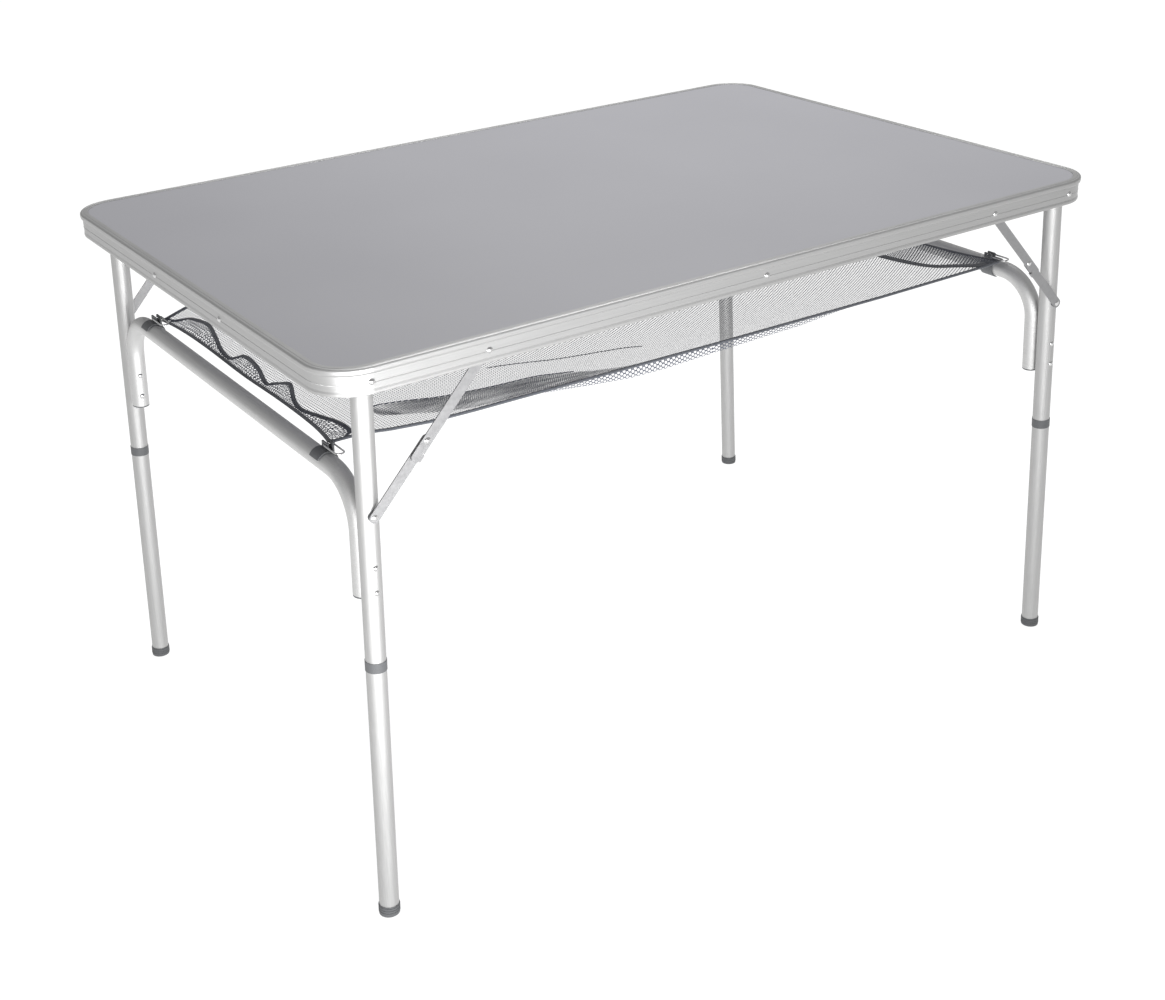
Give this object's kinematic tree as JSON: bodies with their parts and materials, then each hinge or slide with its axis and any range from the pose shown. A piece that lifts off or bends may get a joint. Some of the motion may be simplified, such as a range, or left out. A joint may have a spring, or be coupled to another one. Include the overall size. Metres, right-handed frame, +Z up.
{
  "type": "folding camp kitchen table",
  "caption": "Rectangular folding table with a metal-edged board, splayed two-part tube legs, jointed braces, arched crossbars and a mesh shelf under the top.",
  "frame": {"origin": "on the floor under the middle of the table top", "axes": "+X along the table's long side, -Y towards the front long side, +Z up"},
  "size_m": [1.2, 0.8, 0.73],
  "materials": {
    "board": "fibreboard with a smooth grey laminate",
    "aluminium": "satin anodised",
    "steel": "plated",
    "zinc": "zinc plated strip",
    "plastic": "moulded",
    "net": "open polyester mesh"
  },
  "bodies": {
    "table_top": {"tabletop_board": "board", "edge_rim": "aluminium", "cross_beam": "aluminium", "cross_beam_brackets": "aluminium", "cross_beam_rivets": "steel", "leg_pivot_bolts": "steel", "leg_pivot_sleeves": "steel", "leg_pivot_nuts": "steel", "brace_pivot_rivets": "steel", "rim_joiner_plate": "aluminium", "rim_joiner_screws": "steel", "storage_net": "net"},
    "left_leg_frame": {"left_crossbar": "aluminium", "left_crossbar_end_caps": "plastic", "left_leg_top_plugs": "plastic", "left_crossbar_bolts": "steel", "left_brace_saddles": "plastic", "left_net_rings": "steel", "front_left_upper_leg": "aluminium", "front_left_net_clip": "plastic", "back_left_upper_leg": "aluminium", "back_left_net_clip": "plastic"},
    "front_left_plug_in_leg": {"front_left_lower_leg": "aluminium", "front_left_leg_collar": "plastic", "front_left_foot": "plastic"},
    "front_left_upper_brace_bar": {"front_left_upper_brace": "zinc", "front_left_brace_elbow_rivet": "steel"},
    "front_left_lower_brace_bar": {"front_left_lower_brace": "zinc", "front_left_brace_leg_rivet": "steel"},
    "back_left_plug_in_leg": {"back_left_lower_leg": "aluminium", "back_left_leg_collar": "plastic", "back_left_foot": "plastic"},
    "back_left_upper_brace_bar": {"back_left_upper_brace": "zinc", "back_left_brace_elbow_rivet": "steel"},
    "back_left_lower_brace_bar": {"back_left_lower_brace": "zinc", "back_left_brace_leg_rivet": "steel"},
    "right_leg_frame": {"right_crossbar": "aluminium", "right_crossbar_end_caps": "plastic", "right_leg_top_plugs": "plastic", "right_crossbar_bolts": "steel", "right_brace_saddles": "plastic", "right_net_rings": "steel", "front_right_upper_leg": "aluminium", "front_right_net_clip": "plastic", "back_right_upper_leg": "aluminium", "back_right_net_clip": "plastic"},
    "front_right_plug_in_leg": {"front_right_lower_leg": "aluminium", "front_right_leg_collar": "plastic", "front_right_foot": "plastic"},
    "front_right_upper_brace_bar": {"front_right_upper_brace": "zinc", "front_right_brace_elbow_rivet": "steel"},
    "front_right_lower_brace_bar": {"front_right_lower_brace": "zinc", "front_right_brace_leg_rivet": "steel"},
    "back_right_plug_in_leg": {"back_right_lower_leg": "aluminium", "back_right_leg_collar": "plastic", "back_right_foot": "plastic"},
    "back_right_upper_brace_bar": {"back_right_upper_brace": "zinc", "back_right_brace_elbow_rivet": "steel"},
    "back_right_lower_brace_bar": {"back_right_lower_brace": "zinc", "back_right_brace_leg_rivet": "steel"}
  },
  "joints": [
    {"name": "left_legs_fold", "type": "hinge", "parent": "table_top", "child": "left_leg_frame", "pos_m": [-0.5456, 0, 0.712], "axis": [0, -1, 0], "range_deg": [0, 91.8], "deforming": ["storage_net"]},
    {"name": "front_left_plug_in_leg_pull", "type": "slide", "parent": "left_leg_frame", "child": "front_left_plug_in_leg", "axis": [-0.0483, -0.0154, -0.9987], "range_m": [0, 0.05]},
    {"name": "front_left_upper_brace_swing", "type": "hinge", "parent": "table_top", "child": "front_left_upper_brace_bar", "pos_m": [-0.399, -0.39225, 0.712], "axis": [0, -1, 0], "range_deg": [0, 132.3]},
    {"name": "front_left_lower_brace_swing", "type": "hinge", "parent": "front_left_upper_brace_bar", "child": "front_left_lower_brace_bar", "pos_m": [-0.4823, -0.38925, 0.62359], "axis": [0, 1, 0], "range_deg": [0, 178.8]},
    {"name": "back_left_plug_in_leg_pull", "type": "slide", "parent": "left_leg_frame", "child": "back_left_plug_in_leg", "axis": [-0.0483, 0.0154, -0.9987], "range_m": [0, 0.05]},
    {"name": "back_left_upper_brace_swing", "type": "hinge", "parent": "table_top", "child": "back_left_upper_brace_bar", "pos_m": [-0.399, 0.39225, 0.712], "axis": [0, -1, 0], "range_deg": [0, 132.3]},
    {"name": "back_left_lower_brace_swing", "type": "hinge", "parent": "back_left_upper_brace_bar", "child": "back_left_lower_brace_bar", "pos_m": [-0.4823, 0.38925, 0.62359], "axis": [0, 1, 0], "range_deg": [0, 178.8]},
    {"name": "right_legs_fold", "type": "hinge", "parent": "table_top", "child": "right_leg_frame", "pos_m": [0.5456, 0, 0.712], "axis": [0, 1, 0], "range_deg": [0, 85.6], "deforming": ["storage_net"]},
    {"name": "front_right_plug_in_leg_pull", "type": "slide", "parent": "right_leg_frame", "child": "front_right_plug_in_leg", "axis": [0.0483, -0.0154, -0.9987], "range_m": [0, 0.05]},
    {"name": "front_right_upper_brace_swing", "type": "hinge", "parent": "table_top", "child": "front_right_upper_brace_bar", "pos_m": [0.399, -0.39225, 0.712], "axis": [0, 1, 0], "range_deg": [0, 125]},
    {"name": "front_right_lower_brace_swing", "type": "hinge", "parent": "front_right_upper_brace_bar", "child": "front_right_lower_brace_bar", "pos_m": [0.4823, -0.38925, 0.62359], "axis": [0, -1, 0], "range_deg": [0, 170.2]},
    {"name": "back_right_plug_in_leg_pull", "type": "slide", "parent": "right_leg_frame", "child": "back_right_plug_in_leg", "axis": [0.0483, 0.0154, -0.9987], "range_m": [0, 0.05]},
    {"name": "back_right_upper_brace_swing", "type": "hinge", "parent": "table_top", "child": "back_right_upper_brace_bar", "pos_m": [0.399, 0.39225, 0.712], "axis": [0, 1, 0], "range_deg": [0, 125]},
    {"name": "back_right_lower_brace_swing", "type": "hinge", "parent": "back_right_upper_brace_bar", "child": "back_right_lower_brace_bar", "pos_m": [0.4823, 0.38925, 0.62359], "axis": [0, -1, 0], "range_deg": [0, 170.2]}
  ],
  "couplings": [
    {"joint": "front_left_upper_brace_swing", "follows": "left_legs_fold", "ratio": 1.4396},
    {"joint": "front_left_lower_brace_swing", "follows": "left_legs_fold", "ratio": 1.9462},
    {"joint": "back_left_upper_brace_swing", "follows": "left_legs_fold", "ratio": 1.4396},
    {"joint": "back_left_lower_brace_swing", "follows": "left_legs_fold", "ratio": 1.9462},
    {"joint": "front_right_upper_brace_swing", "follows": "right_legs_fold", "ratio": 1.4585},
    {"joint": "front_right_lower_brace_swing", "follows": "right_legs_fold", "ratio": 1.9871},
    {"joint": "back_right_upper_brace_swing", "follows": "right_legs_fold", "ratio": 1.4585},
    {"joint": "back_right_lower_brace_swing", "follows": "right_legs_fold", "ratio": 1.9871}
  ]
}
